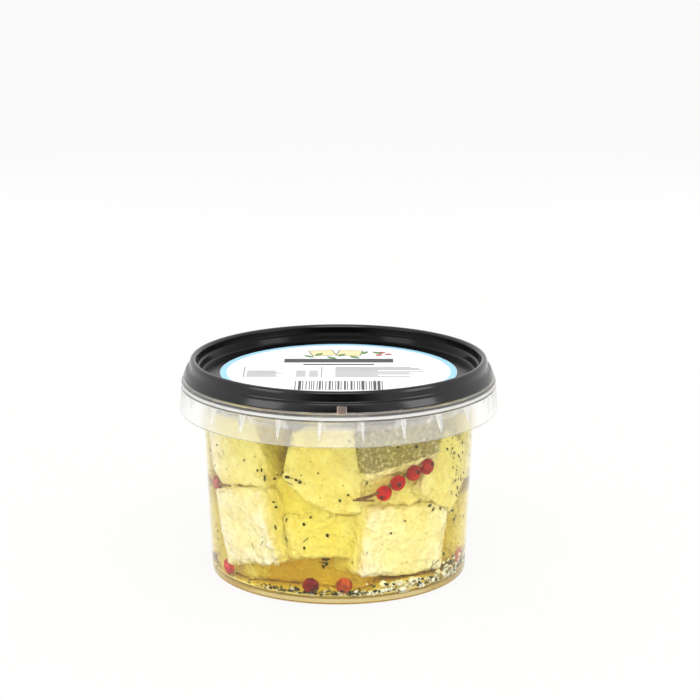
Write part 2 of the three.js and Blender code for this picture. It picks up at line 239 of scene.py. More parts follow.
# The stage, in metres: a lamp's name, place, size and power, and whether gloss mirrors it
LAMPS = [
    ("left_softbox", (-0.60, -0.40, 0.40), 0.35, 1.0, True),
    ("right_softbox", (0.62, -0.32, 0.35), 0.30, 0.9, True),
    ("top_softbox", (0.0, -0.42, 0.62), 0.40, 1.3, True),
    ("front_fill", (0.0, -0.75, 0.14), 0.30, 1.3, False),
    ("back_left_fill", (-0.45, 0.60, 0.35), 0.35, 1.2, False),
    ("back_right_fill", (0.45, 0.60, 0.35), 0.35, 1.2, False),
]
LAMP_AIM = (0, 0, 0.03)
TENT_OPENING = (0.0, -0.996, 0.087)
FLOOR_RADIUS = 3
CAMERA_PLACE_MM = (3.5, -640, 217.77)
CAMERA_PITCH = 13.155
CAMERA_LENS = 110.53


def srgb(code):
    """An sRGB hex colour as the linear RGBA that the shaders take."""
    values = [int(code[i:i + 2], 16) / 255 for i in (1, 3, 5)]
    linear = [v / 12.92 if v <= 0.04045 else ((v + 0.055) / 1.055) ** 2.4 for v in values]
    return (*linear, 1.0)


def darker(tint, *shares):
    """A linear colour with each channel cut to a share, or all three to the same one."""
    shares = shares * 3 if len(shares) == 1 else shares
    return tuple(value * share for value, share in zip(tint, shares)) + (1.0,)


def colour(label, description, code):
    return FloatVectorProperty(name=label, description=description, subtype="COLOR", size=4,
                               min=0, max=1, default=srgb(code))


def length(label, description, millimetres):
    return FloatProperty(name=label, description=description, unit="LENGTH", min=0,
                         default=millimetres * MM)


class FetaTubSizes(bpy.types.PropertyGroup):
    """Sizes that may change without leaving the tub's CAD form."""
    oil_level: length("Oil level", "Height of the oil above the table", 57.5)
    label_border: length("Label border", "Width of the blue ring at the label's edge", 2.0)
    round_steps: IntProperty(name="Round steps", description="Steps round the tub and lid",
                             min=48, max=256, default=144)
    cube_cuts: IntProperty(name="Cube cuts", description="Cuts along each edge of a feta cube",
                           min=6, max=60, default=33)
    herb_share: FloatProperty(name="Herb share", description="Amount of herbs, 1 as in the recipe",
                              subtype="FACTOR", min=0, max=2, default=1)


class FetaTubColours(bpy.types.PropertyGroup):
    """Colours of the pack and its contents."""
    plastic: colour("Clear plastic", "Tint of the clear tub", "#FBFCFB")
    collar: colour("Collar plastic", "Tint of the milky collar", "#FCFCFB")
    lid: colour("Lid plastic", "Black of the lid", "#060607")
    paper: colour("Label paper", "White of the label", "#F6F6F8")
    border: colour("Label border", "Light blue ring of the label", "#A3DDF6")
    feta: colour("Feta", "Cut face of the cheese", "#F4EEDC")
    oil: colour("Oil", "Light that the oil lets through", "#FEF834")
    berry: colour("Peppercorn", "Skin of a pink peppercorn", "#D3120A")
    herb: colour("Herbs", "Dried herb flakes", "#1E1F10")


def node(tree, kind, inputs=None, **settings):
    """Add one shader node, set its fields, and set or link the sockets named in inputs."""
    made = tree.nodes.new(kind)
    for field, value in settings.items():
        setattr(made, field, value)
    for socket, value in (inputs or {}).items():
        if isinstance(value, bpy.types.NodeSocket):
            tree.links.new(value, made.inputs[socket])
        else:
            made.inputs[socket].default_value = value
    return made


def new_material(name):
    """An empty node material and its output node."""
    made = bpy.data.materials.new(name)
    made.use_nodes = True
    made.node_tree.nodes.clear()
    return made, made.node_tree, node(made.node_tree, "ShaderNodeOutputMaterial")


def lets_lamps_through(tree, shader, output):
    """Close a clear material so that lamps shine through it and don't leave it in black shadow."""
    path = node(tree, "ShaderNodeLightPath")
    clear = node(tree, "ShaderNodeBsdfTransparent")
    mix = node(tree, "ShaderNodeMixShader", {
        0: path.outputs["Is Shadow Ray"], 1: shader.outputs[0], 2: clear.outputs[0]})
    tree.links.new(mix.outputs[0], output.inputs["Surface"])


def spaced(millimetres):
    """The scale of a pattern whose features lie so many millimetres apart."""
    return 1 / (millimetres * MM)


def grained(tree, millimetres, detail, strength, depth):
    """An even grain: the place that it reads, its noise, and the normal of its relief."""
    place = node(tree, "ShaderNodeTexCoord").outputs["Object"]
    grain = node(tree, "ShaderNodeTexNoise", {
        "Vector": place, "Scale": spaced(millimetres), "Detail": detail}).outputs["Fac"]
    bump = node(tree, "ShaderNodeBump", {
        "Strength": strength, "Distance": depth * MM, "Height": grain})
    return place, grain, bump.outputs["Normal"]


def clear_polypropylene(name, tint):
    """Clear polypropylene, injection moulded: a soft, slightly wavy gloss and almost no tint."""
    made, tree, output = new_material(name)
    _, _, waves = grained(tree, 11.1, detail=2.0, strength=0.05, depth=0.6)
    plastic = node(tree, "ShaderNodeBsdfPrincipled", {
        "Base Color": tint, "Roughness": 0.05, "IOR": POLYPROPYLENE_IOR,
        "Transmission Weight": 1.0, "Normal": waves})
    lets_lamps_through(tree, plastic, output)
    return made


def wetted_polypropylene(tint):
    """The wall where oil wets it: both bend light alike, so this side neither shines nor bends."""
    made, tree, output = new_material("oil_wetted_polypropylene")
    plastic = node(tree, "ShaderNodeBsdfPrincipled", {
        "Base Color": tint, "Roughness": 0.0, "IOR": 1.0, "Transmission Weight": 1.0})
    lets_lamps_through(tree, plastic, output)
    return made


def milky_polypropylene(name, tint, clearness):
    """The same polypropylene with a matt mould finish: it blurs and whitens what is behind it.

    The mould's real grain is too fine to show, so it is drawn as 1.1 mm.
    """
    made, tree, output = new_material(name)
    _, _, grain = grained(tree, 1.11, detail=3.0, strength=0.1, depth=0.2)
    plastic = node(tree, "ShaderNodeBsdfPrincipled", {
        "Base Color": tint, "Roughness": 0.14, "IOR": POLYPROPYLENE_IOR,
        "Transmission Weight": clearness, "Normal": grain})
    lets_lamps_through(tree, plastic, output)
    return made


def black_polypropylene(name, tint, shine):
    """Black polypropylene, injection moulded with a satin spark finish and a little rubbed.

    The real sparks are too fine to show, so they are drawn as 0.4 mm.
    """
    made, tree, output = new_material(name)
    place, _, sparks = grained(tree, 0.385, detail=3.0, strength=0.1, depth=0.1)
    wear = node(tree, "ShaderNodeTexNoise", {
        "Vector": place, "Scale": spaced(7.14), "Detail": 4.0})
    gloss = node(tree, "ShaderNodeMapRange", {
        "Value": wear.outputs["Fac"], "From Min": 0.3, "From Max": 0.7,
        "To Min": 0.13, "To Max": 0.2})
    plastic = node(tree, "ShaderNodeBsdfPrincipled", {
        "Base Color": tint, "Roughness": gloss.outputs["Result"], "Specular IOR Level": shine,
        "Normal": sparks})
    tree.links.new(plastic.outputs[0], output.inputs["Surface"])
    return made


def label_paper(tint):
    """Smooth coated label paper, white and slightly satin.

    Its real fibres are too fine to show, so they are drawn as 0.7 mm.
    """
    made, tree, output = new_material("coated_label_paper")
    _, fibre, normal = grained(tree, 0.667, detail=4.0, strength=0.05, depth=0.1)
    shade = node(tree, "ShaderNodeMix", {0: fibre, 6: tint, 7: darker(tint, 0.95)},
                 data_type="RGBA")
    paper = node(tree, "ShaderNodeBsdfPrincipled", {
        "Base Color": shade.outputs[2], "Roughness": 0.45, "Normal": normal})
    tree.links.new(paper.outputs[0], output.inputs["Surface"])
    return made


def printing_ink(name, tint):
    """Flat printing ink on coated paper, with a faint mottle drawn coarser than a real screen."""
    made, tree, output = new_material(name)
    place = node(tree, "ShaderNodeTexCoord").outputs["Object"]
    mottle = node(tree, "ShaderNodeTexNoise", {
        "Vector": place, "Scale": spaced(0.833), "Detail": 2.0})
    shade = node(tree, "ShaderNodeMix", {0: mottle.outputs["Fac"], 6: tint, 7: darker(tint, 0.9)},
                 data_type="RGBA")
    ink = node(tree, "ShaderNodeBsdfPrincipled", {
        "Base Color": shade.outputs[2], "Roughness": 0.4})
    tree.links.new(ink.outputs[0], output.inputs["Surface"])
    return made


def feta_cheese(name, tint, dust=None):
    """Fresh feta, cut and oiled: a moist, dense curd in 4 mm grains with pits 1.5 mm apart.

    With dust, ground herbs cover it above a slanting line and leave its lower edge bare.
    """
    made, tree, output = new_material(name)
    place = node(tree, "ShaderNodeTexCoord").outputs["Object"]
    curd = node(tree, "ShaderNodeTexNoise", {
        "Vector": place, "Scale": spaced(3.85), "Detail": 5.0, "Roughness": 0.62})
    cloud = node(tree, "ShaderNodeTexNoise", {
        "Vector": place, "Scale": spaced(10.5), "Detail": 3.0})
    pits = node(tree, "ShaderNodeTexVoronoi", {"Vector": place, "Scale": spaced(1.56)})
    whey = darker(tint, 0.88, 0.78, 0.5)
    spots = node(tree, "ShaderNodeMapRange", {
        "Value": curd.outputs["Fac"], "From Min": 0.4, "From Max": 0.62})
    patch = node(tree, "ShaderNodeMath", {0: spots.outputs["Result"], 1: cloud.outputs["Fac"]},
                 operation="MULTIPLY")
    shade = node(tree, "ShaderNodeMix", {0: patch.outputs[0], 6: tint, 7: whey}, data_type="RGBA")
    surface = shade.outputs[2]
    if dust:
        surface = ground_herbs(tree, place, surface, dust)
    height = node(tree, "ShaderNodeMath", {0: curd.outputs["Fac"], 1: pits.outputs["Distance"]},
                  operation="ADD")
    bump = node(tree, "ShaderNodeBump", {
        "Strength": 0.9, "Distance": 0.9 * MM, "Height": height.outputs[0]})
    cheese = node(tree, "ShaderNodeBsdfPrincipled", {
        "Base Color": surface, "Roughness": 0.5, "Specular IOR Level": 0.12,
        "Subsurface Weight": 0.35,
        "Subsurface Radius": (1.0, 0.9, 0.7), "Subsurface Scale": 2.5 * MM,
        "Normal": bump.outputs["Normal"]})
    tree.links.new(cheese.outputs[0], output.inputs["Surface"])
    return made


def ground_herbs(tree, place, surface, dust):
    """Speckle a colour with ground herbs above a line that rises towards +X."""
    axes = node(tree, "ShaderNodeSeparateXYZ", {0: place})
    rise = node(tree, "ShaderNodeMath", {
        0: axes.outputs["X"], 1: -DUST_SLOPE, 2: axes.outputs["Z"]}, operation="MULTIPLY_ADD")
    ragged = node(tree, "ShaderNodeTexNoise", {
        "Vector": place, "Scale": spaced(3.03), "Detail": 4.0})
    line = node(tree, "ShaderNodeMath", {
        0: ragged.outputs["Fac"], 1: DUST_FRAY * MM, 2: rise.outputs[0]},
        operation="MULTIPLY_ADD")
    above = node(tree, "ShaderNodeMapRange", {
        "Value": line.outputs[0], "From Min": DUST_LINE[0] * MM, "From Max": DUST_LINE[1] * MM})
    grit = node(tree, "ShaderNodeTexNoise", {
        "Vector": place, "Scale": spaced(1.11), "Detail": 6.0, "Roughness": 0.75})
    cover = node(tree, "ShaderNodeMapRange", {
        "Value": grit.outputs["Fac"], "From Min": 0.33, "From Max": 0.5})
    both = node(tree, "ShaderNodeMath", {0: above.outputs["Result"], 1: cover.outputs["Result"]},
                operation="MULTIPLY")
    return node(tree, "ShaderNodeMix", {0: both.outputs[0], 6: surface, 7: dust},
                data_type="RGBA").outputs[2]


def golden_oil(name, tint, bends_light):
    """Clear vegetable oil: it takes out blue light over about a centimetre.

    Its free surface shines and bends light, and where it wets the wall it does neither.
    """
    made, tree, output = new_material(name)
    oil = node(tree, "ShaderNodeBsdfPrincipled", {
        "Base Color": (1.0, 1.0, 1.0, 1.0), "Roughness": 0.0, "IOR": bends_light,
        "Transmission Weight": 1.0})
    lets_lamps_through(tree, oil, output)
    depth = node(tree, "ShaderNodeVolumeAbsorption", {"Color": tint, "Density": 86.0})
    tree.links.new(depth.outputs[0], output.inputs["Volume"])
    return made


def dry_plant(name, light, dark, roughness, spread):
    """A dried plant part in oil, such as a peppercorn skin or a herb leaf.

    Its two tones lie the spread apart, in millimetres. The oil has nearly the same index as
    the plant's skin, so it hardly shines there.
    """
    made, tree, output = new_material(name)
    _, mottle, normal = grained(tree, spread, detail=4.0, strength=0.3, depth=0.3)
    cover = node(tree, "ShaderNodeMapRange", {
        "Value": mottle, "From Min": 0.38, "From Max": 0.62})
    shade = node(tree, "ShaderNodeMix", {0: cover.outputs["Result"], 6: light, 7: dark},
                 data_type="RGBA")
    skin = node(tree, "ShaderNodeBsdfPrincipled", {
        "Base Color": shade.outputs[2], "Roughness": roughness, "Specular IOR Level": 0.2,
        "Normal": normal})
    tree.links.new(skin.outputs[0], output.inputs["Surface"])
    return made


def into_mesh(bm, name):
    """Turn a bmesh into a mesh, and let the bmesh go."""
    mesh = bpy.data.meshes.new(name)
    bm.to_mesh(mesh)
    bm.free()
    return mesh


def add_object(name, data):
    """Put a new object into the scene."""
    made = bpy.data.objects.new(name, data)
    bpy.context.scene.collection.objects.link(made)
    return made


def make_piece(name, bm, materials, replaced=(), sharp=40):
    """Turn a bmesh drawn in millimetres into a finished piece that rides on the tub."""
    bmesh.ops.scale(bm, vec=Vector((MM, MM, MM)), verts=bm.verts)
    mesh = into_mesh(bm, name)
    piece = add_object(name, mesh)
    for material in materials:
        mesh.materials.append(material)
    mesh.shade_smooth()
    mesh.set_sharp_from_angle(angle=math.radians(sharp))
    if replaced:
        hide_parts(*replaced)
    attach(piece, "root")
    return piece


def turned(profile, steps, rounding=0.0):
    """A closed profile of (radius, height) points turned about the vertical axis."""
    bm = bmesh.new()
    line = [bm.verts.new((radius, 0, height)) for radius, height in profile]
    for pair in zip(line, line[1:]):
        bm.edges.new(pair)
    if profile[0][0] > 0:
        bm.edges.new((line[-1], line[0]))
    if rounding:
        corners = [v for v in bm.verts if v.co.x > 1]
        bmesh.ops.bevel(bm, geom=corners, affect="VERTICES", offset=rounding, segments=3,
                        profile=0.5, material=-1, clamp_overlap=True)
    bmesh.ops.spin(bm, geom=bm.verts[:] + bm.edges[:], cent=(0, 0, 0), axis=(0, 0, 1),
                   angle=2 * math.pi, steps=steps, use_merge=True)
    bmesh.ops.remove_doubles(bm, verts=bm.verts, dist=1e-4)
    bmesh.ops.recalc_face_normals(bm, faces=bm.faces)
    return bm


def wedge(outline, low, high):
    """An outline in the XZ plane, given a thickness centred on Y that grows with the height."""
    bm = bmesh.new()
    face = bm.faces.new([bm.verts.new((x, -1, z)) for x, z in outline])
    grown = bmesh.ops.extrude_face_region(bm, geom=[face], use_keep_orig=True)["geom"]
    far = [item for item in grown if isinstance(item, bmesh.types.BMVert)]
    bmesh.ops.translate(bm, vec=(0, 2, 0), verts=far)
    heights = [z for _, z in outline]
    for vert in bm.verts:
        share = (vert.co.z - min(heights)) / (max(heights) - min(heights))
        vert.co.y *= (low + (high - low) * share) / 2
    bmesh.ops.recalc_face_normals(bm, faces=bm.faces)
    return bm


def put_together(parts):
    """Several bmeshes as one, each still a body of its own."""
    whole = bmesh.new()
    for part in parts:
        mesh = into_mesh(part, "part")
        whole.from_mesh(mesh)
        bpy.data.meshes.remove(mesh)
    return whole


def combine(body, tool, operation):
    """Join a body with a tool, or cut it by one."""
    made = [add_object("boolean", into_mesh(part, "boolean")) for part in (body, tool)]
    change = made[0].modifiers.new("change", "BOOLEAN")
    change.operation = operation
    change.solver = "EXACT"
    change.object = made[1]
    result = bmesh.new()
    result.from_object(made[0], bpy.context.evaluated_depsgraph_get())
    for item in made:
        mesh = item.data
        bpy.data.objects.remove(item)
        bpy.data.meshes.remove(mesh)
    return result


def outer_wall_radius(z):
    rise = (z - BASE_CORNER) / (WALL_TOP[1] - BASE_CORNER)
    return BASE_RADIUS + (WALL_TOP[0] - BASE_RADIUS) * rise


def beside_wall(azimuth, z, inset):
    """A point inside the tub, a given distance in from the wall."""
    angle = math.radians(azimuth)
    radius = outer_wall_radius(z) - WALL - inset
    return Vector((radius * math.sin(angle), -radius * math.cos(angle), z))


def inner_profile(inset):
    """The inside of the tub, from the floor to the slope under the mouth."""
    wall = WALL + inset
    return [
        (37.3, FLOOR_Z + inset),
        (38.4 - inset, FLOOR_Z + 0.7 + inset),
        (outer_wall_radius(5) - wall, 5),
        (WALL_TOP[0] - wall, WALL_TOP[1]),
        (NECK[0] - wall, NECK[1]),
        (SHOULDER[0] - wall, SHOULDER[1]),
    ] + [(radius - inset, z) for radius, z in MOUTH_SLOPE]


def inner_radius(z, inset):
    """How far out the contents may reach at a height."""
    profile = inner_profile(inset)
    for (low_radius, low), (high_radius, high) in zip(profile, profile[1:]):
        if z <= high:
            share = max(0.0, (z - low) / (high - low))
            return low_radius + (high_radius - low_radius) * share
    return profile[-1][0]


def tub_profile():
    mouth_inner = MOUTH_RADIUS - 0.7
    outside = [
        (0, FLOOR_UNDER_Z),
        (FOOT_RADII[0] - 0.5, FLOOR_UNDER_Z),
        (FOOT_RADII[0], 0),
        (FOOT_RADII[1], 0),
        (BASE_RADIUS - 0.2, 0.22),
        (BASE_RADIUS, BASE_CORNER),
        WALL_TOP,
        NECK,
        SHOULDER,
        (42.9, 55.6),
        (45.2, 57.6),
        (MOUTH_RADIUS, FLANGE_UNDER_Z),
        (COLLAR_TOP_RADIUS - 1.1, FLANGE_UNDER_Z),
        (COLLAR_TOP_RADIUS - 0.75, FLANGE_UNDER_Z - 0.4),
        (COLLAR_RADIUS - 0.85, COLLAR_BOTTOM_Z + 0.2),
        (COLLAR_RADIUS - 0.65, COLLAR_BOTTOM_Z),
        (COLLAR_RADIUS - 0.1, COLLAR_BOTTOM_Z),
        (COLLAR_RADIUS, COLLAR_BOTTOM_Z + 0.25),
        (COLLAR_TOP_RADIUS, BEAD_Z - 0.3),
        (COLLAR_TOP_RADIUS - 0.25, BEAD_Z),
        (COLLAR_TOP_RADIUS, BEAD_Z + 0.3),
        (COLLAR_TOP_RADIUS - 0.15, BEAD_Z + 1.1),
        (COLLAR_TOP_RADIUS - 0.65, FLANGE_Z - 0.25),
        (COLLAR_TOP_RADIUS - 1.35, FLANGE_Z),
        (MOUTH_RADIUS, FLANGE_Z),
        (MOUTH_RADIUS, MOUTH_Z - 0.2),
        (MOUTH_RADIUS - 0.2, MOUTH_Z),
        (mouth_inner, MOUTH_Z),
        (mouth_inner, FLANGE_UNDER_Z),
    ]
    return outside + inner_profile(0)[::-1] + [(0, FLOOR_Z)]


def lid_profile():
    panel_under = PANEL_Z - LID_WALL
    return [
        (0, PANEL_Z),
        (PANEL_RADIUS, PANEL_Z),
        (PANEL_RADIUS + 0.6, PANEL_Z + 0.3),
        (PANEL_RADIUS + 1.1, PANEL_Z + 2),
        (RIM_INNER_RADIUS - 0.2, PANEL_Z + 2.25),
        (RIM_INNER_RADIUS, RIM_Z - 0.8),
        (RIM_INNER_RADIUS + 0.35, RIM_Z - 0.2),
        (RIM_INNER_RADIUS + 0.9, RIM_Z),
        (RIM_OUTER_RADIUS - 0.6, RIM_Z - 0.1),
        (RIM_OUTER_RADIUS - 0.2, RIM_Z - 0.5),
        (RIM_OUTER_RADIUS, RIM_Z - 1.2),
        (RIM_OUTER_RADIUS + 0.2, LEDGE[1] + 0.35),
        (RIM_OUTER_RADIUS + 0.4, LEDGE[1]),
        LEDGE,
        (LEDGE[0] + 0.35, LEDGE[1] - 0.25),
        (LID_RADIUS, LID_BOTTOM_Z + 0.3),
        (LID_RADIUS - 0.05, LID_BOTTOM_Z),
        (LID_RADIUS - LID_WALL, LID_BOTTOM_Z),
        (LEDGE[0] - 0.1, LEDGE[1] - LID_WALL),
        (RIM_OUTER_RADIUS - 0.5, LEDGE[1] - LID_WALL),
        (RIM_OUTER_RADIUS - LID_WALL, LEDGE[1]),
        (RIM_OUTER_RADIUS - LID_WALL - 0.1, RIM_Z - LID_WALL),
        (RIM_INNER_RADIUS + LID_WALL, RIM_Z - LID_WALL),
        (RIM_INNER_RADIUS + LID_WALL, LEDGE[1]),
        (PANEL_RADIUS + 1.8, PANEL_Z + 1.3),
        (PANEL_RADIUS + 1.3, PANEL_Z - 0.3),
        (PANEL_RADIUS + 0.5, panel_under),
        (0, panel_under),
    ]


def rib_parts():
    """The thin webs that hang under the flange, inside the collar."""
    outline = [
        (COLLAR_TOP_RADIUS - 0.6, FLANGE_UNDER_Z + 0.3),
        (MOUTH_RADIUS - 0.4, FLANGE_UNDER_Z + 0.3),
        (MOUTH_RADIUS - 0.7, FLANGE_UNDER_Z - 0.9),
        (COLLAR_RADIUS - 1.6, RIB_FOOT_Z + 1.6),
        (COLLAR_RADIUS - 0.75, RIB_FOOT_Z),
        (COLLAR_RADIUS - 0.45, RIB_FOOT_Z),
    ]
    ribs = []
    for i in range(RIB_COUNT):
        rib = wedge(outline, *RIB_THICKNESS)
        turn = Matrix.Rotation(math.radians(RIB_PHASE + 360 / RIB_COUNT * i - 90), 3, "Z")
        bmesh.ops.rotate(rib, matrix=turn, cent=(0, 0, 0), verts=rib.verts)
        ribs.append(rib)
    return ribs


def block(low, high):
    """A box between two corners."""
    bm = bmesh.new()
    bmesh.ops.create_cube(bm, size=1)
    low, high = Vector(low), Vector(high)
    bmesh.ops.scale(bm, vec=high - low, verts=bm.verts)
    bmesh.ops.translate(bm, vec=(low + high) / 2, verts=bm.verts)
    return bm


def feta_cube(spec, seed, cuts):
    """A hand-cut cube of feta, worn at its edges and pressed flat where it meets the wall."""
    half = Vector(spec["size"]) / 2
    bm = bmesh.new()
    bmesh.ops.create_cube(bm, size=2)
    bmesh.ops.subdivide_edges(bm, edges=bm.edges, cuts=cuts, use_grid_fill=True)
    for vert in bm.verts:
        vert.co = worn_point(vert.co * half, half, spec, seed)
    turns = (Matrix.Rotation(math.radians(spec["azimuth"]), 4, "Z")
             @ Matrix.Translation((0, half.y - spec["reach"], spec["z"]))
             @ Matrix.Rotation(math.radians(spec["yaw"]), 4, "Z")
             @ Matrix.Rotation(math.radians(-spec["roll"]), 4, "Y"))
    bmesh.ops.transform(bm, matrix=turns, verts=bm.verts)
    berries = [beside_wall(azimuth, z, BERRY_RADIUS + CONTENT_GAP)
               for azimuth, z in SPRIG_BERRIES + LOOSE_BERRIES]
    for vert in bm.verts:
        for centre in berries:
            away = vert.co - centre
            if away.length < BERRY_RADIUS + BERRY_CLEARANCE:
                vert.co = centre + away.normalized() * (BERRY_RADIUS + BERRY_CLEARANCE)
        vert.co.z = max(vert.co.z, FLOOR_Z + TUB_CLEARANCE)
        reach = math.hypot(vert.co.x, vert.co.y)
        limit = inner_radius(vert.co.z, TUB_CLEARANCE)
        if reach > limit:
            vert.co.x *= limit / reach
            vert.co.y *= limit / reach
    bmesh.ops.recalc_face_normals(bm, faces=bm.faces)
    return bm


def worn_point(point, half, spec, seed):
    """Where a point of a sharp block ends up on the worn and chipped cube."""
    shift = Vector((seed * 7.3, seed * 3.1, seed * 5.7))
    inner = Vector([max(-h + CUBE_EDGE, min(h - CUBE_EDGE, c)) for c, h in zip(point, half)])
    outward = (point - inner).normalized()
    place = inner + outward * CUBE_EDGE
    corner = max(0, sum(abs(c) > 0.25 for c in outward) - 1)
    curd = 0.34 * noise.fractal(place * 0.33 + shift, 0.7, 2.1, 6)
    chip = max(0.0, noise.noise(place * 0.25 + shift) + 0.02) * 2.4 * corner
    pit = max(0.0, noise.noise(place * 0.75 - shift) - 0.36) * 2.2
    crumb = 0.0
    if "broken" in spec:
        near = (place - Vector(spec["broken"]) * half).length
        rough = noise.fractal(place * 0.5 - shift, 0.7, 2.2, 4)
        crumb = max(0.0, 1 - near / 13) * (1.1 + 2.4 * rough)
    waves = [CUBE_WOBBLE * math.sin(seed * 2.7 + k * 1.9 + place[(k + 1) % 3] * 0.35
                                    + place[(k + 2) % 3] * 0.27) for k in range(3)]
    place = place + Vector(waves) + outward * (curd - chip - pit - crumb)
    for across, up, limit in spec.get("cuts", []):
        rough = 0.5 * noise.fractal(place * 0.4 + shift, 0.8, 2.1, 4)
        over = place.x * across + place.z * up - limit - rough
        if over > 0:
            place -= Vector((across, 0, up)) * over
    return place


def peppercorn(centre, seed, calyx, wrinkle, is_cut=False):
    """A pink peppercorn: a thin dented skin and a dark calyx scar, or one cut open there."""
    bm = bmesh.new()
    bmesh.ops.create_icosphere(bm, subdivisions=4, radius=1)
    shift = Vector((seed * 4.1, -seed * 2.3, seed * 1.7))
    scar = Vector(calyx).normalized()
    for vert in bm.verts:
        outward = vert.co.normalized()
        dent = 0.06 * noise.noise(outward * 1.6 + shift)
        fold = wrinkle * noise.noise(outward * 5 + shift)
        hollow = 0.08 * max(0.0, 1 - outward.angle(scar) / 0.4)
        size = BERRY_RADIUS * (0.97 + dent + fold - hollow)
        vert.co = outward * size
        over = vert.co.dot(scar) - 0.45 * BERRY_RADIUS
        if is_cut and over > 0:
            rim = (vert.co - scar * vert.co.dot(scar)).length / BERRY_RADIUS
            vert.co -= scar * (over + BERRY_RADIUS * max(0.0, 0.72 - rim))
        vert.co += centre
    for face in bm.faces:
        lean = (face.calc_center_median() - centre).angle(scar)
        face.material_index = SCAR if lean < (0.85 if is_cut else 0.3) else SKIN
    return bm


def stalk(points, radius):
    """A thin stalk along a smooth line through some points."""
    curve = bpy.data.curves.new("stalk", "CURVE")
    curve.dimensions = "3D"
    curve.bevel_depth = radius
    curve.bevel_resolution = 2
    curve.use_fill_caps = True
    curve.resolution_u = 8
    spline = curve.splines.new("BEZIER")
    spline.bezier_points.add(len(points) - 1)
    for target, point in zip(spline.bezier_points, points):
        target.co = point
        target.handle_left_type = target.handle_right_type = "AUTO"
    holder = add_object("stalk", curve)
    bm = bmesh.new()
    bm.from_mesh(holder.to_mesh())
    holder.to_mesh_clear()
    bpy.data.objects.remove(holder)
    bpy.data.curves.remove(curve)
    bmesh.ops.remove_doubles(bm, verts=bm.verts, dist=1e-4)
    bmesh.ops.recalc_face_normals(bm, faces=bm.faces)
    return bm


def add_bit(bm, place, across, size, rng):
    """Add one small uneven bit, flattened across a direction, with its size in millimetres."""
    spin = Matrix.Rotation(rng.uniform(0, 2 * math.pi), 4, "Z")
    lean = Vector(across).to_track_quat("Z", "Y").to_matrix().to_4x4()
    matrix = Matrix.Translation(place) @ lean @ spin
    for vert in bmesh.ops.create_icosphere(bm, subdivisions=1, radius=0.5)["verts"]:
        vert.co = Vector([c * s * rng.uniform(0.75, 1.25) for c, s in zip(vert.co, size)])
        vert.co = matrix @ vert.co


def add_patch(bm, points, height, ink):
    """Print one flat shape on the label."""
    face = bm.faces.new([bm.verts.new((x, y, height)) for x, y in points])
    face.material_index = ink


def add_bar(bm, x0, y0, x1, y1, height):
    add_patch(bm, [(x0, y0), (x1, y0), (x1, y1), (x0, y1)], height, BLACK_INK)


def add_leaf(bm, x, y, angle, size, height):
    """A pointed leaf that starts at a point and lies along an angle in degrees."""
    turn = Matrix.Rotation(math.radians(angle), 2)
    side = [(size * i / 8, 0.22 * size * math.sin(math.pi * i / 8)) for i in range(9)]
    outline = side + [(a, -b) for a, b in side[-2:0:-1]]
    place = Vector((x, y))
    add_patch(bm, [tuple(turn @ Vector(point) + place) for point in outline], height, LEAF_INK)


def add_dot(bm, x, y, radius, height):
    ring = [2 * math.pi * i / 20 for i in range(20)]
    add_patch(bm, [(x + radius * math.cos(a), y + radius * math.sin(a)) for a in ring], height,
              BERRY_INK)


def label_print(inner, outer, height):
    """The printed shapes: a border, a sprig over two cheese blocks, bars, a table and stripes."""
    bm = bmesh.new()
    ring = [2 * math.pi * i / 96 for i in range(97)]
    for a, b in zip(ring, ring[1:]):
        add_patch(bm, [(r * math.cos(t), r * math.sin(t))
                       for r, t in ((inner, a), (outer, a), (outer, b), (inner, b))],
                  height, BORDER_INK)
    for x, lean in ((-5.2, 12), (3.4, -8)):
        turn = Matrix.Rotation(math.radians(lean), 2)
        for half, ink, lift in ((3.9, BLACK_INK, 0), (3.6, CREAM_INK, 0.01)):
            block_outline = [turn @ Vector((a * half, b * half)) + Vector((x, 23.5))
                             for a, b in ((-1, -1), (1, -1), (1, 1), (-1, 1))]
            add_patch(bm, [tuple(point) for point in block_outline], height + lift, ink)
    sprig_height = height + 0.02
    for i in range(7):
        x = -11 + 3.6 * i
        y = 18.6 + 0.05 * (x + 1) ** 2 * (1 if x > 0 else 0.4)
        add_leaf(bm, x, y, 62 if i % 2 else -48, 4.6, sprig_height)
    for x, y in ((13.6, 24.0), (15.6, 21.6), (12.6, 20.6)):
        add_dot(bm, x, y, 1.1, sprig_height)
    add_bar(bm, -17, 10.6, 17, 15.6, height)
    add_bar(bm, -11, 7.2, 11, 8.8, height)
    table_left, table_right, line = -29, -5, 0.25
    for y in (4.6, 0.9, -8.6):
        add_bar(bm, table_left, y, table_right, y + line, height)
    for x in (table_left, table_right - line):
        add_bar(bm, x, -8.6, x + line, 4.85, height)
    rng = random.Random(11)
    for row in range(6):
        y = -0.9 - 1.3 * row
        for left, right in ((-28, -28 + rng.uniform(6, 12)), (-13, -10), (-9, -6.2)):
            add_bar(bm, left, y, right, y + 0.55, height)
    for row in range(9):
        y = 3.9 - 1.45 * row
        add_bar(bm, -1, y, rng.uniform(21, 28) if row % 4 < 3 else 12, y + 0.6, height)
    x = -13.0
    while x < 13:
        width = rng.choice((0.3, 0.3, 0.6, 0.9))
        add_bar(bm, x, -24, x + width, -13, height)
        x += width + rng.choice((0.35, 0.35, 0.7))
    add_bar(bm, -9, -28.6, 9, -27.3, height)
    return bm


